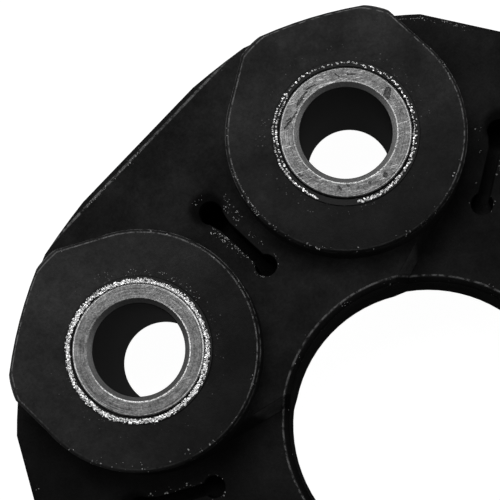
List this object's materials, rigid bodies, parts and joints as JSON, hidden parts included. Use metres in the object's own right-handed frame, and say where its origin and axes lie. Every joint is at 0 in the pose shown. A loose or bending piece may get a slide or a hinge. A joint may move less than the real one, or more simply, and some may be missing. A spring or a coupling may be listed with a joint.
{
  "type": "driveshaft flex disc",
  "caption": "Moulded rubber driveshaft coupling disc with steel bolt sleeves, buried cord loops, raised pads and a round centre hole.",
  "frame": {"origin": "on the disc axis, halfway through its thickness", "axes": "+Z along the disc axis towards the face in the picture, +X through the middle of a thick segment"},
  "size_m": [0.1088, 0.1136, 0.03],
  "materials": {
    "rubber": "moulded, dull black with dusty edges",
    "sleeve_steel": "turned end faces",
    "collar_steel": "raw sheared edge",
    "cord": "wound polyester cord"
  },
  "bodies": {
    "root": {"rubber_body": "rubber", "sleeve_1": "sleeve_steel", "sleeve_2": "sleeve_steel", "sleeve_3": "sleeve_steel", "sleeve_4": "sleeve_steel", "sleeve_5": "sleeve_steel", "sleeve_6": "sleeve_steel", "collar_top_1": "collar_steel", "collar_top_2": "collar_steel", "collar_top_3": "collar_steel", "collar_top_4": "collar_steel", "collar_top_5": "collar_steel", "collar_top_6": "collar_steel", "collar_bottom_1": "collar_steel", "collar_bottom_2": "collar_steel", "collar_bottom_3": "collar_steel", "collar_bottom_4": "collar_steel", "collar_bottom_5": "collar_steel", "collar_bottom_6": "collar_steel", "cord_thick_top_1": "cord", "cord_thick_top_2": "cord", "cord_thick_top_3": "cord", "cord_thick_bottom_1": "cord", "cord_thick_bottom_2": "cord", "cord_thick_bottom_3": "cord", "cord_thin_1": "cord", "cord_thin_2": "cord", "cord_thin_3": "cord"}
  },
  "joints": []
}
